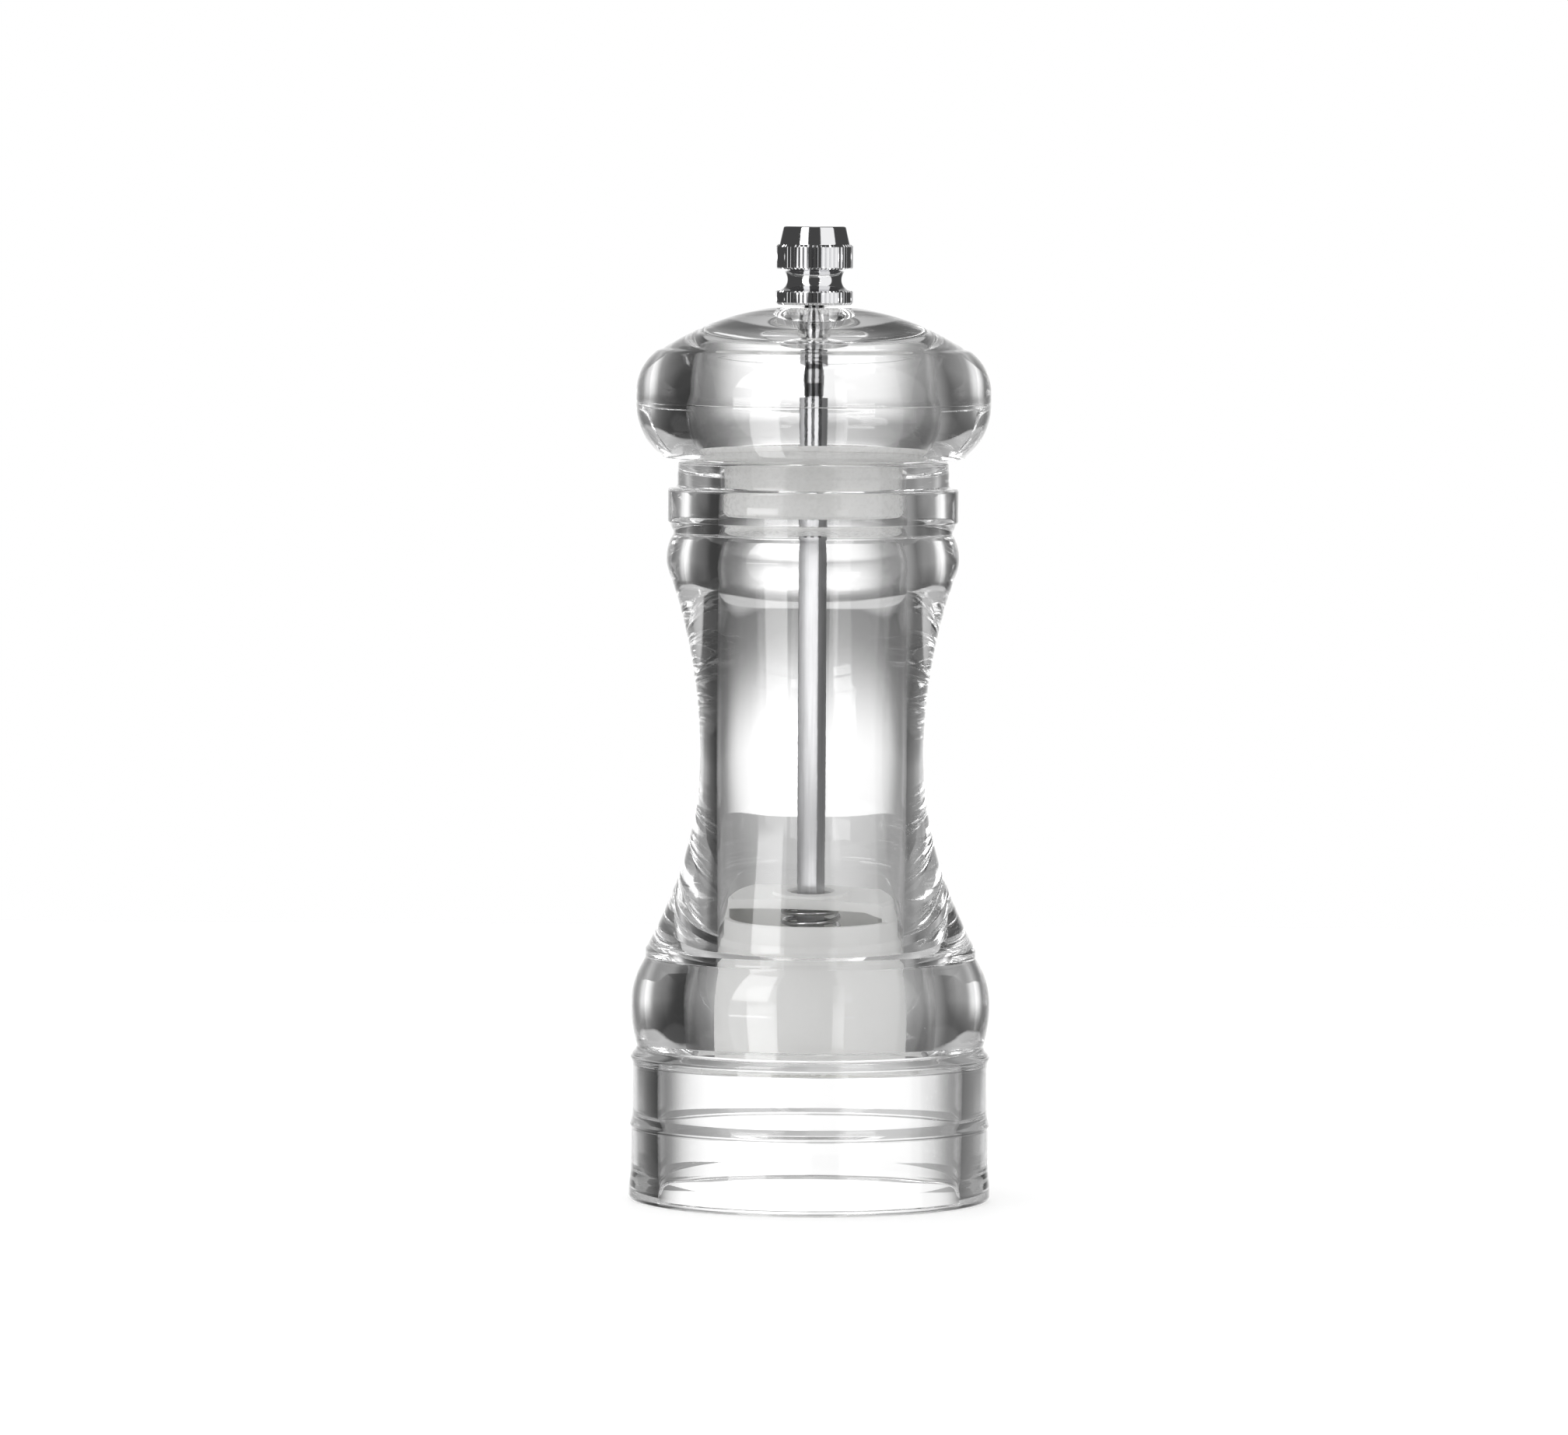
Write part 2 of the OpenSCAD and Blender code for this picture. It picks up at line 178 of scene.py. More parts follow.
# %% Lid of the plug
LID_HOLE_R, LID_R = 2.8, 18.2
LID_LOW, LID_TOP = 109.32, 110.0
lid_mesh = turned([[LID_HOLE_R, LID_LOW], [LID_R, LID_LOW], [LID_R, LID_TOP], [LID_HOLE_R, LID_TOP]], 160)
lid = finished(lid_mesh, "plug_lid", "cap", "white_nylon")

# %% [markdown]
# ## The knurled knob
#
# The knob is one spin too. Its segments come in groups of four, and one column in each
# group is pulled in towards the axis wherever the band stands proud of the knurl's roots,
# which cuts the same straight grooves that a knurling wheel presses.

# %% Knob
TEETH = 54
COLUMNS = TEETH * 4
KNOB_R, ROOT_R = 5.55, 5.27
lower_band = [[0, 137.5], [1.8, 136.5], [1.8, 128.3], [5.2, 128.3], [5.53, 128.62], [KNOB_R, 128.7],
              [KNOB_R, 130.05], [5.52, 130.12], [5.3, 130.3]]
waisted = arc(5.4, 131.85, 1.5, 255, 105, 24)
upper_band = [[5.3, 133.4], [5.52, 133.58], [KNOB_R, 133.65], [KNOB_R, 136.5], [5.53, 136.58],
              [5.2, 136.9], [5.06, 136.92], [5.02, 137.02]]
crown = [[4.53, 139.2], [4.46, 139.38], [4.32, 139.48], [4.1, 139.5], [0, 139.5]]
knob_mesh = turned(lower_band + waisted + upper_band + crown, COLUMNS, closed=False)
cut = 0
for v in knob_mesh.verts:
    column = round(math.atan2(v.co.y, v.co.x) / math.tau * COLUMNS) % 4
    if column == 0 and v.co.xy.length > (ROOT_R + 0.01) * MM:
        v.co.xy *= ROOT_R * MM / v.co.xy.length
        cut += 1
print("points pulled in for the knurl:", cut)
knob = finished(knob_mesh, "knob_chrome", "knob", "knob_chrome", "knob", sharp=20)

# %% [markdown]
# ## The square rod
#
# The rod starts as a cube stretched to length, with its four long corners bevelled. The
# screws at its ends are turned with a saw-edged profile: rings instead of a helix, which
# look the same at this scale.

# %% Rod
ROD_TURN = math.radians(-24)
ROD_SIDE, ROD_EDGE = 3.1, 0.14
ROD_LOW, ROD_TOP = 24.4, 116.7
rod = bmesh.new()
bmesh.ops.create_cube(rod, size=1)
bmesh.ops.scale(rod, vec=(ROD_SIDE * MM, ROD_SIDE * MM, (ROD_TOP - ROD_LOW) * MM), verts=rod.verts)
bmesh.ops.translate(rod, vec=(0, 0, (ROD_TOP + ROD_LOW) / 2 * MM), verts=rod.verts)
corners = [e for e in rod.edges if abs(e.verts[0].co.z - e.verts[1].co.z) > 10 * MM]
bmesh.ops.bevel(rod, geom=corners, offset=ROD_EDGE * MM, affect="EDGES", segments=3,
                profile=0.5, material=-1)
bmesh.ops.rotate(rod, cent=(0, 0, 0), matrix=Matrix.Rotation(ROD_TURN, 3, "Z"), verts=rod.verts)


def screw(z_from, z_to, pitch=0.5, crest=1.45, root=1.23, margin=0.3):
    """A closed, ringed stud between two heights."""
    turns = int((z_to - z_from - 2 * margin) / pitch)
    thread = []
    for i in range(turns):
        z = z_from + margin + i * pitch
        thread += [[root, z], [crest, z + pitch * 0.4]]
        thread += [[crest, z + pitch * 0.5], [root, z + pitch * 0.9]]
    profile = [[0, z_from], [root, z_from]] + thread + [[root - 0.1, z_to], [0, z_to]]
    return turned(profile, 48, closed=False)


for stud in (screw(116.5, 135.4), screw(21.5, 24.6)):
    part = bpy.data.meshes.new("stud")
    stud.to_mesh(part)
    stud.free()
    rod.from_mesh(part)
    bpy.data.meshes.remove(part)
rod_piece = finished(rod, "rod_steel", "spindle", "rod_steel", "shaft")

# %% [markdown]
# ## The spring
#
# A helix is a spin that also moves: dvec lifts the section a little at every step. The end
# turns lie flat, so the coil is made in three spins that carry on from one another. The
# spring ends a little below its washer, which leaves room for the rod's travel.

# %% Spring
COIL_R, WIRE_R = 4.05, 0.4
SPRING_LOW, SPRING_HIGH = 34.13, 39.24
spring = bmesh.new()
ring = bmesh.ops.create_circle(spring, cap_ends=True, segments=14, radius=WIRE_R * MM)["verts"]
bmesh.ops.rotate(spring, cent=(0, 0, 0), matrix=Matrix.Rotation(math.pi / 2, 3, "X"), verts=ring)
bmesh.ops.translate(spring, vec=(COIL_R * MM, 0, SPRING_LOW * MM), verts=ring)
section = list(spring.verts) + list(spring.edges) + list(spring.faces)
STEPS_A_TURN = 48
flat_end, open_coils = (0.75, 0), (3, SPRING_HIGH - SPRING_LOW)
for turns, climb in (flat_end, open_coils, flat_end):
    steps = round(turns * STEPS_A_TURN)
    swept = bmesh.ops.spin(spring, geom=section, cent=(0, 0, 0), axis=(0, 0, 1), angle=math.tau * turns,
                           dvec=(0, 0, climb / steps * MM), steps=steps, use_merge=False)
    section = swept["geom_last"]
bmesh.ops.recalc_face_normals(spring, faces=spring.faces)
coil = finished(spring, "spring_wire", "spindle", "spring_steel", "spring", sharp=50)

# %% [markdown]
# ## The mechanism's housing
#
# A moulded tube with a collar that reaches up into the bore and a flange below. Moulded
# plastic has no sharp rims, so every one is eased.

# %% Housing
collar = [[11.9, 38.9], [12.63, 38.9], [12.75, 37.7], [12.75, 35.9]]
shoulder = [[13.3, 35.0], [13.3, 33.99], [13.74, 33.99]]
flange = [[13.74, 23.4], [13.94, 23.2], [15.95, 23.2], [16.1, 23.05], [16.1, 21.8]]
burr_seat = [[12.35, 21.8], [12.35, 29.2], [11.9, 29.6]]
housing_mesh = turned(collar + shoulder + flange + burr_seat, 160)
print("rims eased:", ease_rims(housing_mesh, 0.12, angle=30))
housing = finished(housing_mesh, "housing_white", "mill_body", "white_nylon", "grinder_housing", sharp=35)

# %% [markdown]
# ## Materials
#
# Small helpers keep the node trees readable. Every finish of the mill has fine wear, which is
# a mottled roughness with hairline scratches, so that is a node group, built once and placed
# in each with its own values. Lathe rings, the faint steps that a cutting tool leaves round
# a turned wall, are a group too.

# %% Node helpers
def add(tree, kind, **values):
    """Adds a node and sets its properties, or its inputs by name."""
    node = tree.nodes.new(kind)
    for key, value in values.items():
        if hasattr(node, key):
            setattr(node, key, value)
        else:
            node.inputs[key.replace("_", " ")].default_value = value
    return node


def calc(tree, operation, *terms, clamp=False):
    """A Math node; each term is a number or another node's output."""
    node = tree.nodes.new("ShaderNodeMath")
    node.operation = operation
    node.use_clamp = clamp
    for socket, term in zip(node.inputs, terms):
        if isinstance(term, (int, float)):
            socket.default_value = term
        else:
            tree.links.new(term, socket)
    return node.outputs[0]


def new_group(name, inputs, outputs):
    """An empty node group whose inputs have default values and whose outputs are all floats."""
    tree = bpy.data.node_groups.new(name, "ShaderNodeTree")
    kind = "NodeSocketFloat"
    for label, value in inputs:
        socket = tree.interface.new_socket(name=label, in_out="INPUT", socket_type=kind)
        socket.default_value = value
    for label in outputs:
        tree.interface.new_socket(name=label, in_out="OUTPUT", socket_type=kind)
    return tree, tree.nodes.new("NodeGroupInput"), tree.nodes.new("NodeGroupOutput")


# %% Fine wear
wear_values = [("Base Roughness", 0.2), ("Spread", 0.05), ("Grain per metre", 900)]
wear, wear_in, wear_out = new_group("fine_wear", wear_values, ["Roughness", "Height"])
place = add(wear, "ShaderNodeTexCoord")
mottle = add(wear, "ShaderNodeTexNoise", Detail=3.0, Roughness=0.6)
wear.links.new(place.outputs["Object"], mottle.inputs["Vector"])
wear.links.new(wear_in.outputs["Grain per metre"], mottle.inputs["Scale"])
scratches = add(wear, "ShaderNodeTexWave", Scale=2100.0, Distortion=9.0, Detail=2.0)
wear.links.new(place.outputs["Object"], scratches.inputs["Vector"])
off_centre = calc(wear, "SUBTRACT", mottle.outputs["Fac"], 0.5)
swing = calc(wear, "MULTIPLY", off_centre, wear_in.outputs["Spread"])
wear.links.new(calc(wear, "ADD", wear_in.outputs["Base Roughness"], swing), wear_out.inputs["Roughness"])
fine = calc(wear, "MULTIPLY", scratches.outputs["Fac"], 0.25)
wear.links.new(calc(wear, "ADD", mottle.outputs["Fac"], fine), wear_out.inputs["Height"])
print(wear.name, "has", len(wear.nodes), "nodes")

# %% Lathe rings
rings, rings_in, rings_out = new_group("lathe_rings", [("Rings per metre", 6000)], ["Height"])
place = add(rings, "ShaderNodeTexCoord")
apart = add(rings, "ShaderNodeSeparateXYZ")
rings.links.new(place.outputs["Object"], apart.inputs[0])
step = calc(rings, "MULTIPLY", apart.outputs["Z"], rings_in.outputs["Rings per metre"])
flutter = add(rings, "ShaderNodeTexNoise", Scale=420.0, Detail=2.0)
rings.links.new(place.outputs["Object"], flutter.inputs["Vector"])
wobble = calc(rings, "MULTIPLY", flutter.outputs["Fac"], 6.0)
rings.links.new(calc(rings, "SINE", calc(rings, "ADD", step, wobble)), rings_out.inputs["Height"])
print(rings.name, "has", len(rings.nodes), "nodes")


# %% Material helpers
def effect(tree, group, **values):
    """Places a group in a material, with that material's own values."""
    node = tree.nodes.new("ShaderNodeGroup")
    node.node_tree = group
    for key, value in values.items():
        node.inputs[key.replace("_", " ")].default_value = value
    return node


def finish_of(name, **values):
    """A new material with its Principled shader; values set the shader's own sockets."""
    material = bpy.data.materials.new(name)
    material.use_nodes = True
    shader = material.node_tree.nodes["Principled BSDF"]
    for key, value in values.items():
        shader.inputs[key.replace("_", " ")].default_value = value
    return material, material.node_tree, shader


def roughen(tree, shader, base, spread, grain):
    """Drives the roughness with the wear effect, and returns the effect's height."""
    worn = effect(tree, wear, Base_Roughness=base, Spread=spread, Grain_per_metre=grain)
    tree.links.new(worn.outputs["Roughness"], shader.inputs["Roughness"])
    return worn.outputs["Height"]


def bump(tree, shader, height, distance, strength):
    """Tilts the normals by a height, distance being in metres."""
    node = add(tree, "ShaderNodeBump", Strength=strength, Distance=distance)
    tree.links.new(height, node.inputs["Height"])
    tree.links.new(node.outputs["Normal"], shader.inputs["Normal"])


# %% [markdown]
# ## Clear acrylic
#
# Acrylic bends light a little less than window glass, with an index of 1.49, and has no
# tint. The outside and the bore are polished. The counterbore, the recess and their
# ceilings were bored and left, so a second material with lathe rings goes on those faces.
#
# Some light is caught for good between the smooth walls. In real acrylic it scatters out at
# last; here a ray that has bounced more than fifteen times ends instead in a painted grey glow.

# %% Acrylic
FINE_BUMP = 0.000002


def end_in_painted_glow(tree, shader, most=15.0, grey=0.5):
    """A ray that has bounced this often inside the walls ends in a painted grey glow that the surface
    emits.
    """
    path = add(tree, "ShaderNodeLightPath")
    caught = calc(tree, "GREATER_THAN", path.outputs["Ray Depth"], most)
    # The painted grey glow: an Emission shader on the acrylic, which is no lamp.
    painted_glow = add(tree, "ShaderNodeEmission", Color=(grey, grey, grey, 1))
    mix = tree.nodes.new("ShaderNodeMixShader")
    tree.links.new(caught, mix.inputs[0])
    tree.links.new(shader.outputs[0], mix.inputs[1])
    tree.links.new(painted_glow.outputs[0], mix.inputs[2])
    tree.links.new(mix.outputs[0], tree.nodes["Material Output"].inputs["Surface"])


def acrylic(name, spread, grain, strength, ringed=False):
    """Clear acrylic with a trace of wear, and with lathe rings where it was left as bored."""
    values = {"Base_Color": (1, 1, 1, 1), "IOR": 1.49, "Transmission_Weight": 1.0}
    material, tree, shader = finish_of(name, **values)
    height = roughen(tree, shader, 0.0, spread, grain)
    if ringed:
        height = calc(tree, "ADD", effect(tree, rings).outputs["Height"], height)
    bump(tree, shader, height, FINE_BUMP, strength)
    # Rays trapped in the walls end in a painted grey glow.
    end_in_painted_glow(tree, shader)
    return material


polished = acrylic("acrylic_polished", 0.01, 260.0, 0.3)
bored = acrylic("acrylic_bored", 0.02, 1500.0, 0.2, ringed=True)
print("made", polished.name, bored.name)

# %% Which faces are bored
for piece in (barrel, cap_clear):
    piece.data.materials.append(polished)
barrel.data.materials.append(bored)
BORED_R, BORED_Z = (BORE_R + 0.2, 21.2), (20.7, 34.3)
count = 0
for face in barrel.data.polygons:
    r, z = face.center.xy.length / MM, face.center.z / MM
    if BORED_R[0] < r < BORED_R[1] and BORED_Z[0] < z < BORED_Z[1]:
        face.material_index = 1
        count += 1
print("bored faces:", count)

# %% [markdown]
# ## Chrome
#
# The knob is chromed, so it is nearly a mirror. A metallic shader with a low roughness is
# enough, and the wear effect keeps its highlights from being perfectly even.

# %% Chrome
chrome, tree, shader = finish_of("knob_chrome", Base_Color=(0.80, 0.80, 0.81, 1), Metallic=1.0)
bump(tree, shader, roughen(tree, shader, 0.05, 0.04, 700.0), FINE_BUMP, 0.3)
print("made", chrome.name)

# %% [markdown]
# ## Steel
#
# The rod, the spring and the lower nut are bare steel, which shows fine streaks along its
# length. A noise stretched along Z by a Mapping node drives both the tone and the bump, so
# that the dark streaks are the low ones. Near its top the rod is darker in three speckled
# upright rows, and a cosine of X lays the rows out.

# %% Tone helpers
def between(tree, factor, low, high):
    """Maps a factor of 0 to 1 onto low to high."""
    node = add(tree, "ShaderNodeMapRange", To_Min=low, To_Max=high)
    tree.links.new(factor, node.inputs["Value"])
    return node.outputs["Result"]


def tinted(tree, shader, colour, amount):
    """The base colour is colour times a varying amount."""
    tint = add(tree, "ShaderNodeVectorMath", operation="SCALE")
    tint.inputs[0].default_value = colour
    tree.links.new(amount, tint.inputs["Scale"])
    tree.links.new(tint.outputs["Vector"], shader.inputs["Base Color"])


# %% Steel
BAR_PITCH = 0.001
BARS_HALF_WIDTH = 0.0015


def dark_rows(tree, place, start):
    """1 on the rest of the rod, and much less in three speckled dark rows above a height in metres."""
    apart = add(tree, "ShaderNodeSeparateXYZ")
    tree.links.new(place.outputs["Object"], apart.inputs[0])
    across = calc(tree, "ADD", apart.outputs["X"], BAR_PITCH / 10)
    wave = calc(tree, "COSINE", calc(tree, "MULTIPLY", across, math.tau / BAR_PITCH))
    on_bar = calc(tree, "GREATER_THAN", wave, 0.1)
    inner = calc(tree, "LESS_THAN", calc(tree, "ABSOLUTE", apart.outputs["X"]), BARS_HALF_WIDTH)
    above = calc(tree, "GREATER_THAN", apart.outputs["Z"], start)
    speck = add(tree, "ShaderNodeTexNoise", Scale=2600.0, Detail=2.0)
    tree.links.new(place.outputs["Object"], speck.inputs["Vector"])
    dark = calc(tree, "MULTIPLY", on_bar, calc(tree, "MULTIPLY", inner, above))
    depth = calc(tree, "SUBTRACT", 1.25, calc(tree, "MULTIPLY", speck.outputs["Fac"], 0.9))
    return calc(tree, "SUBTRACT", 1.0, calc(tree, "MULTIPLY", dark, depth), clamp=True)


def steel(name, colour, roughness, streak, low=0.82, high=1.08, dark_rows_from=0.0):
    """Drawn steel: noise stretched along Z darkens it and lifts its surface in streaks."""
    material, tree, shader = finish_of(name, Base_Color=(*colour, 1), Metallic=1.0)
    place = add(tree, "ShaderNodeTexCoord")
    stretch = add(tree, "ShaderNodeMapping", Scale=(2600, 2600, streak))
    tree.links.new(place.outputs["Object"], stretch.inputs["Vector"])
    grain = add(tree, "ShaderNodeTexNoise", Scale=1.0, Detail=4.0)
    tree.links.new(stretch.outputs["Vector"], grain.inputs["Vector"])
    amount = between(tree, grain.outputs["Fac"], low, high)
    if dark_rows_from:
        # Near its top the rod is darker in three upright rows.
        amount = calc(tree, "MULTIPLY", amount, dark_rows(tree, place, dark_rows_from))
    tinted(tree, shader, colour, amount)
    roughen(tree, shader, roughness, 0.1, 1100.0)
    bump(tree, shader, grain.outputs["Fac"], 0.000006, 0.5)
    return material


rod_steel = steel("rod_steel", (0.60, 0.60, 0.61), 0.31, 90, 0.72, 1.16, dark_rows_from=0.0975)
spring_steel = steel("spring_steel", (0.62, 0.62, 0.63), 0.14, 900)
fastener_steel = steel("fastener_steel", (0.64, 0.64, 0.65), 0.25, 1400)
print("made", rod_steel.name, spring_steel.name, fastener_steel.name)

# %% [markdown]
# ## Milky plastic
#
# The mechanism is moulded in a milky plastic, matt with a soft sheen. A little subsurface
# scattering lets light go under its skin, and a slow noise varies the tone as the flow of
# the melt does. One function makes all four, from white nylon to the greyer burrs.

# %% Plastic
def plastic(name, colour, roughness, sheen=0.5):
    """Milky moulded plastic with faint flow marks."""
    values = {"Base_Color": (*colour, 1), "IOR": 1.53, "Specular_IOR_Level": sheen,
              "Subsurface_Weight": 0.25, "Subsurface_Radius": (1, 1, 1), "Subsurface_Scale": 0.0015}
    material, tree, shader = finish_of(name, **values)
    place = add(tree, "ShaderNodeTexCoord")
    flow = add(tree, "ShaderNodeTexNoise", Scale=160.0, Detail=3.0)
    tree.links.new(place.outputs["Object"], flow.inputs["Vector"])
    tinted(tree, shader, colour, between(tree, flow.outputs["Fac"], 0.95, 1.04))
    bump(tree, shader, roughen(tree, shader, roughness, 0.15, 1800.0), 0.00001, 0.4)
    return material


white_nylon = plastic("white_nylon", (0.95, 0.95, 0.935), 0.5, sheen=0.25)
glossy_nylon = plastic("glossy_nylon", (0.93, 0.93, 0.915), 0.28)
burr = plastic("burr_plastic", (0.78, 0.78, 0.75), 0.42)
washer = plastic("washer_plastic", (0.76, 0.76, 0.74), 0.28)
print("made", white_nylon.name, glossy_nylon.name, burr.name, washer.name)

# %% [markdown]
# ## Dressing the pieces
#
# The pieces made above and the parts of the solid model that still show all get a finish.

# %% Dressing
dressing = {
    white_nylon: [housing, nodes["bridge"], nodes["retaining_ring"]],
    glossy_nylon: [nodes["drive_plug"], lid],
    burr: [nodes["stator_ring"], nodes["rotor"]],
    washer: [nodes["thrust_washer"]],
    rod_steel: [rod_piece],
    spring_steel: [coil],
    fastener_steel: [nodes["lower_washer"], nodes["lower_nut"]],
    chrome: [knob],
}
for material, pieces in dressing.items():
    for piece in pieces:
        piece.data.materials.clear()
        piece.data.materials.append(material)
    print(material.name, "->", [p.name for p in pieces])

# %% [markdown]
# ## Camera and floor
#
# The camera stands a little above the mill and far off, which keeps the walls nearly
# parallel. Its lens follows from the scale wanted in the picture. The floor is plain paper
# that glows a little, so that it comes out white and still shows the mill's shadow. Rays
# that the mill bends or mirrors don't meet it, but see the studio's own table.

# %% Camera
PX_PER_MM = 9.0
FRAME_WIDTH = 2016
DISTANCE, EYE_HEIGHT = 1.6, 0.165
AIM_AT = Vector((-0.0040, 0, 0.0692))
ROLL = math.radians(0.33)
cam_data = bpy.data.cameras.new("camera")
cam_data.sensor_fit = "HORIZONTAL"
cam_data.sensor_width = 36
cam_data.lens = PX_PER_MM * DISTANCE / MM * cam_data.sensor_width / FRAME_WIDTH
cam_data.clip_start, cam_data.clip_end = 0.05, 20
camera = bpy.data.objects.new("camera", cam_data)
bpy.context.scene.collection.objects.link(camera)
camera.location = (AIM_AT.x, -DISTANCE, EYE_HEIGHT)
aim = (AIM_AT - camera.location).to_track_quat("-Z", "Y").to_matrix()
camera.rotation_euler = (aim @ Matrix.Rotation(ROLL, 3, "Z")).to_euler()
bpy.context.scene.camera = camera
print("lens", round(cam_data.lens, 1), "mm")

# %% Floor
floor_mesh = bmesh.new()
bmesh.ops.create_grid(floor_mesh, x_segments=1, y_segments=1, size=0.5)
bmesh.ops.scale(floor_mesh, vec=(1.4, 1, 1), verts=floor_mesh.verts)
mesh = bpy.data.meshes.new("floor")
floor_mesh.to_mesh(mesh)
floor_mesh.free()
floor = bpy.data.objects.new("floor", mesh)
bpy.context.scene.collection.objects.link(floor)

paper, tree, shader = finish_of("floor_paper", Base_Color=(0.6, 0.6, 0.6, 1), Roughness=0.6)
output = tree.nodes["Material Output"]
glow = add(tree, "ShaderNodeEmission", Strength=0.5)
seen = add(tree, "ShaderNodeAddShader")
tree.links.new(glow.outputs[0], seen.inputs[0])
tree.links.new(shader.outputs[0], seen.inputs[1])
tree.links.new(seen.outputs[0], output.inputs["Surface"])
floor.visible_transmission = False
floor.visible_glossy = False
floor.data.materials.append(paper)
print("floor", [round(d, 2) for d in floor.dimensions], "m")

# %% [markdown]
# ## The studio, painted by direction
#
# Clear plastic shows its surroundings and nothing else, so the studio is part of the look.
# The world's shader works out how far each direction lies to the side of the one behind the
# mill (off_axis) and how far above the horizon (rise), in degrees. A few helpers turn these
# into soft steps, bands and fading tails, and the cells below add the studio up from them.

# %% Directions
world = bpy.data.worlds.new("studio")
bpy.context.scene.world = world
world.use_nodes = True
tree = world.node_tree
tree.nodes.clear()
place = add(tree, "ShaderNodeTexCoord")
apart = add(tree, "ShaderNodeSeparateXYZ")
tree.links.new(place.outputs["Generated"], apart.inputs[0])
side, back, up = apart.outputs
DEGREES = math.degrees(1)
wide = calc(tree, "MULTIPLY", calc(tree, "ARCTAN2", side, back), DEGREES)
off_axis = calc(tree, "ABSOLUTE", wide)
from_front = calc(tree, "SUBTRACT", 180.0, off_axis)
rise = calc(tree, "MULTIPLY", calc(tree, "ARCSINE", up), DEGREES)
is_left = calc(tree, "LESS_THAN", side, 0.0)
is_right = calc(tree, "SUBTRACT", 1.0, is_left)
print("nodes that measure a direction:", len(tree.nodes))


# %% Shaping helpers
def ramp(value, start, end, before, after):
    """A soft step from one level to another between start and end."""
    node = tree.nodes.new("ShaderNodeMapRange")
    node.interpolation_type = "SMOOTHSTEP"
    for socket, number in zip(node.inputs[1:5], (start, end, before, after)):
        socket.default_value = number
    tree.links.new(value, node.inputs["Value"])
    return node.outputs["Result"]


def plus(*terms):
    """The sum of the terms."""
    total = terms[0]
    for term in terms[1:]:
        total = calc(tree, "ADD", total, term)
    return total


def times(*terms):
    """The product of the terms."""
    total = terms[0]
    for term in terms[1:]:
        total = calc(tree, "MULTIPLY", total, term)
    return total


def band(value, low, high, soft):
    """1 between low and high, with soft edges."""
    return times(ramp(value, low - soft, low + soft, 0, 1), ramp(value, high - soft, high + soft, 1, 0))


def fall(value, length):
    """1 at nought, then a fading tail with the given length."""
    past = calc(tree, "MAXIMUM", value, 0.0)
    return calc(tree, "POWER", math.e, calc(tree, "DIVIDE", past, -length))


# %% [markdown]
# ## Behind the mill
#
# A lit backdrop fades sideways and upwards, and it reaches further on the right. Above it is
# the ceiling's glow, which starts higher towards the sides. The room's sides are dark at
# first, which draws the dark edges of the acrylic. Below all this lies a table, lightest in
# the middle, and its far edge draws the line across the pepper chamber.

# %% Backdrop, ceiling and sides
core = times(ramp(off_axis, 6, 19, 0.5, 0.0), ramp(rise, 1, 12, 1.0, 0.0))
tail_left = times(fall(off_axis, 17.0), 0.957, is_left)
tail_right = times(fall(off_axis, 37.0), 0.613, is_right)
backdrop = plus(core, times(plus(tail_left, tail_right), fall(rise, 13.0)))
over_edge = calc(tree, "SUBTRACT", rise, ramp(off_axis, 10, 56, 14.5, 23.5))
ceiling = times(ramp(over_edge, -1.5, 1.5, 0.0, 1.0), ramp(off_axis, 20, 60, 0.58, 0.36))
sides_left = times(ramp(off_axis, 70, 80, 0.04, 0.36), is_left)
sides_right = times(ramp(off_axis, 44, 70, 0.10, 0.34), is_right)
sides = times(plus(sides_left, sides_right), ramp(off_axis, 90, 150, 1.0, 1.5))
room = calc(tree, "MAXIMUM", calc(tree, "MAXIMUM", backdrop, ceiling), sides)
print("nodes, with the room:", len(tree.nodes))


# %% Table
def table_top(level, middle, until, far):
    """A level with a lighter middle that ends at until degrees, and darker far sides."""
    return plus(level, ramp(off_axis, 0, until, middle, 0.0), ramp(off_axis, 40, 56, 0.0, far))


far_edge = plus(ramp(off_axis, 3, 11, -10.7, -10.3), ramp(off_axis, 22, 36, 0.0, -5.0))
is_table = calc(tree, "LESS_THAN", calc(tree, "SUBTRACT", rise, far_edge), 0.0)
table_left = times(table_top(0.29, 0.26, 15, -0.2), is_left)
table_right = times(table_top(0.35, 0.28, 17, -0.1), is_right)
table = plus(table_left, table_right)
surroundings = plus(times(room, calc(tree, "SUBTRACT", 1.0, is_table)), times(table, is_table))
print("nodes, with the table:", len(tree.nodes))

# %% [markdown]
# ## In front of the mill
#
# A tall soft box stands on the left of the camera, and a strip light and a paler panel on
# its right. Far below the horizon the box and the strip come back, dimmer, as a table
# would mirror them.

# %% Lights in front
at_lamp_height = times(band(rise, -3.0, 50, 0.4), 0.88)
in_table = ramp(rise, -26, -24, 0.6, 0.0)
by_height = plus(0.12, at_lamp_height, in_table)
box = times(band(from_front, 28, 53.5, 0.8), is_left, by_height)
strip = times(band(from_front, 18.5, 28, 0.8), is_right, ramp(rise, 24, 30, 1.0, 0.0), by_height)
panel = times(band(from_front, 22, 77, 2), is_right)
print("nodes, with the lights:", len(tree.nodes))

# %% [markdown]
# ## What each kind of ray sees
#
# The camera sees plain white, and light that a matt surface scatters sees an even room, a
# little brighter on the left. Rays that come out of the acrylic see the whole studio. The
# Ray Depth tells where such a ray was mirrored, and where that was the bore's wall or the
# rod, the lights are dimmer. The acrylic's outer skin and the chrome see a plain room with
# the lights in it.

# %% Through the acrylic
ON_SKIN, IN_BORE, ON_ROD = 2, 4, 6
path = add(tree, "ShaderNodeLightPath")
depth = path.outputs["Ray Depth"]


def mirrored(surface):
    """1 for rays whose Ray Depth says that they were mirrored by this surface."""
    return band(depth, surface - 0.5, surface + 0.5, 0.1)


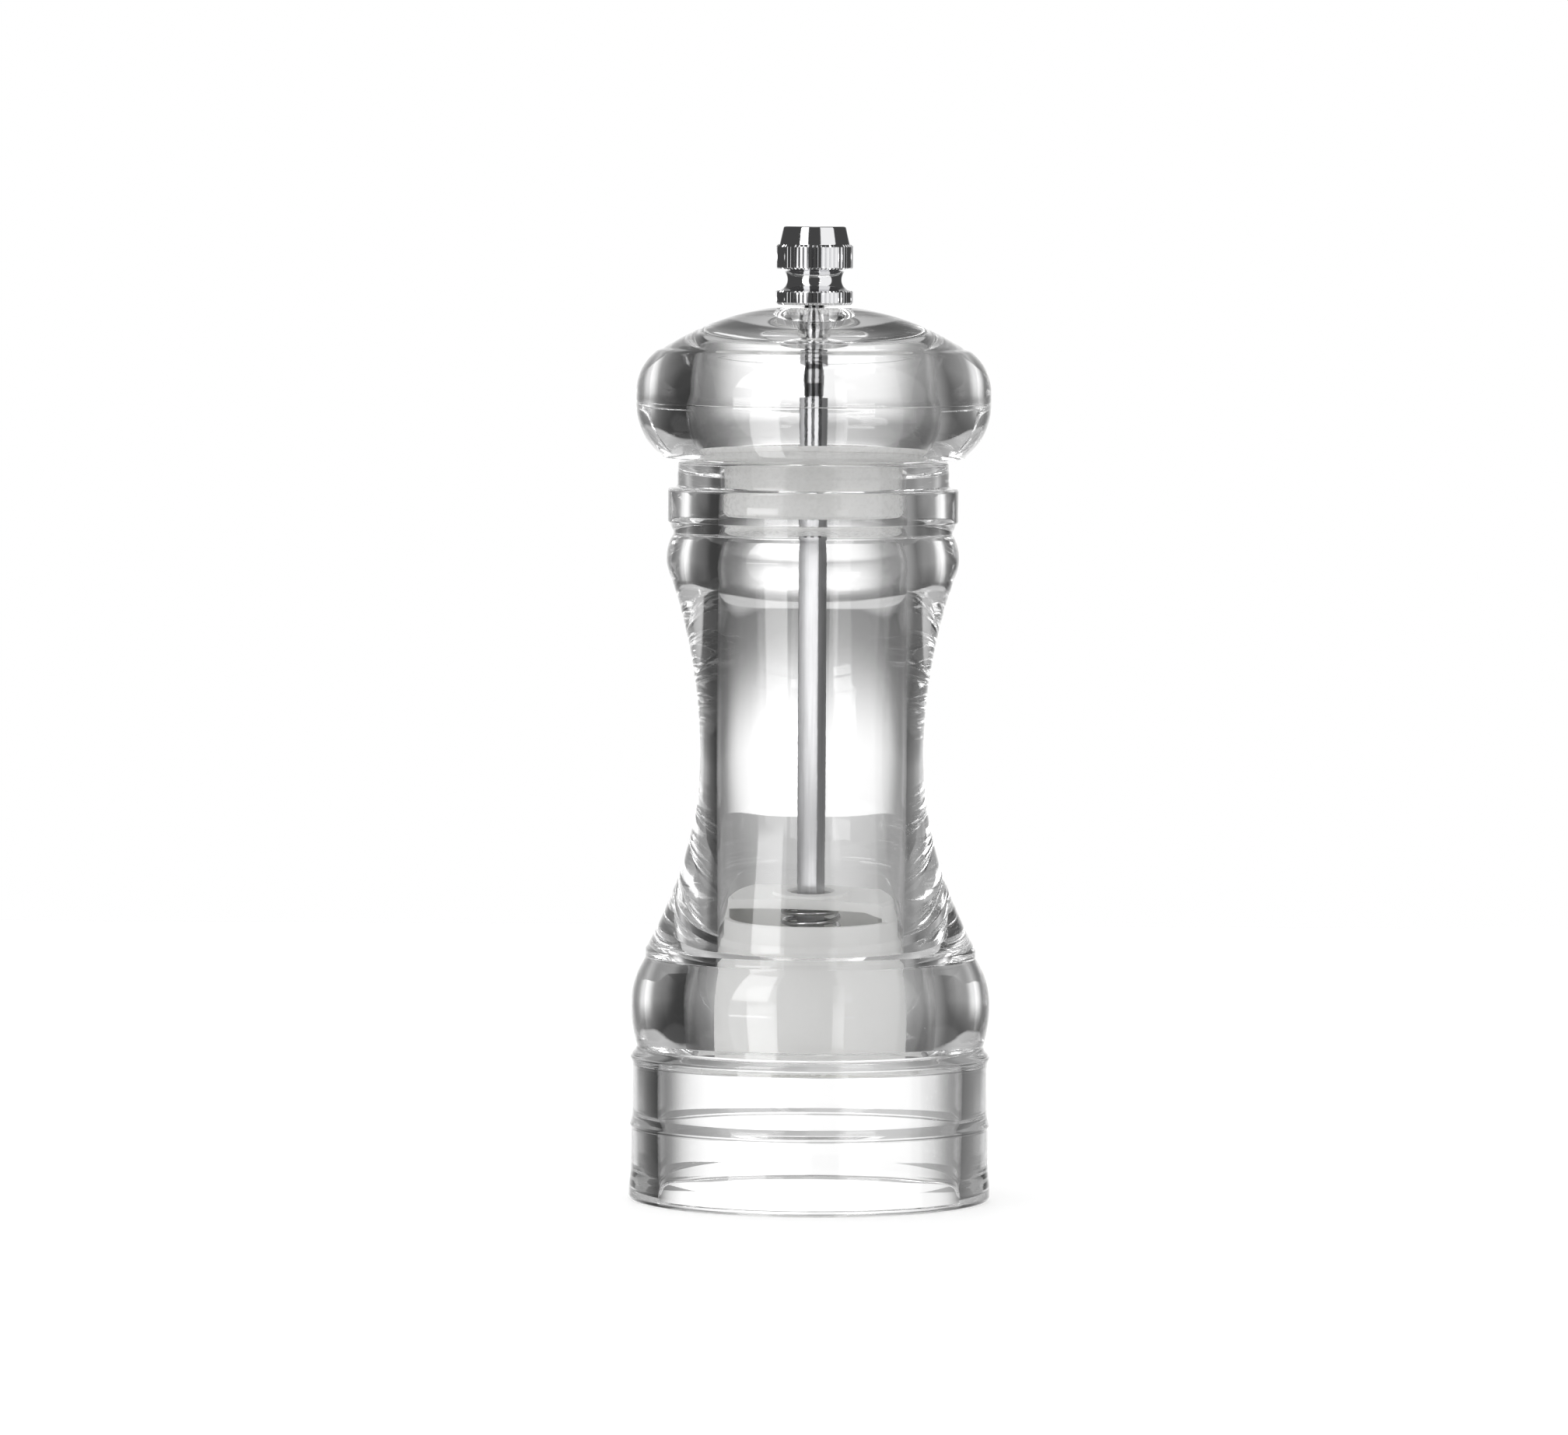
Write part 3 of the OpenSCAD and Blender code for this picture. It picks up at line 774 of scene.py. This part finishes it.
low_in_bore = times(mirrored(IN_BORE), ramp(rise, 5, 9, -0.6, 0.0))
on_rod = times(mirrored(ON_ROD), ramp(rise, -4, -2.5, 0.0, -0.6))
lights = times(plus(times(box, 5.2), times(strip, 3.5)), plus(1.0, low_in_bore, on_rod))
through_acrylic = plus(surroundings, lights, panel)

# %% In a mirror
plain_room = plus(0.07, times(ramp(off_axis, 6, 30, 1.2, 0.0), ramp(rise, 1, 25, 1.0, 0.2)))
wide_box = times(band(from_front, 24, 54, 1.0), is_left, 1.25)
skin_heights = plus(ramp(rise, 14, 20, 0.0, 1.0), band(rise, -3.4, -0.8, 0.3))
on_skin = times(ramp(depth, ON_SKIN + 0.4, ON_SKIN + 0.6, 1.0, 0.0), skin_heights)
skin_lights = times(plus(times(box, 4.7), times(strip, 1.2)), on_skin)
in_mirror = plus(plain_room, wide_box, panel, skin_lights)


# %% Choice by ray
def choose(switch, when_on, when_off):
    """One value where the switch is 1 and the other where it is 0."""
    node = tree.nodes.new("ShaderNodeMix")
    node.data_type = "FLOAT"
    tree.links.new(switch, node.inputs["Factor"])
    for socket, value in ((node.inputs["A"], when_off), (node.inputs["B"], when_on)):
        if isinstance(value, float):
            socket.default_value = value
        else:
            tree.links.new(value, socket)
    return node.outputs["Result"]


WHITE = 1.0
level = choose(path.outputs["Is Glossy Ray"], in_mirror, WHITE)
level = choose(path.outputs["Is Transmission Ray"], through_acrylic, level)
scattered = calc(tree, "GREATER_THAN", path.outputs["Diffuse Depth"], 0.5)
level = choose(scattered, plus(1.1, times(side, -0.25)), level)
level = choose(path.outputs["Is Camera Ray"], WHITE, level)
background = add(tree, "ShaderNodeBackground", Color=(1, 1, 1, 1))
tree.links.new(level, background.inputs["Strength"])
tree.links.new(background.outputs[0], add(tree, "ShaderNodeOutputWorld").inputs["Surface"])
world.cycles.sampling_method = "NONE"
print("nodes in all:", len(tree.nodes))

# %% [markdown]
# ## Render settings that belong to the look
#
# Thick clear walls need many bounces before a ray gets out. The view transform is plain, so
# white stays white.

# %% Settings and finish
scene = bpy.context.scene
scene.view_settings.view_transform = "Standard"
scene.cycles.max_bounces = 64
scene.cycles.transmission_bounces = 64
scene.cycles.glossy_bounces = 24
scene.cycles.diffuse_bounces = 8
scene.cycles.use_denoising = True
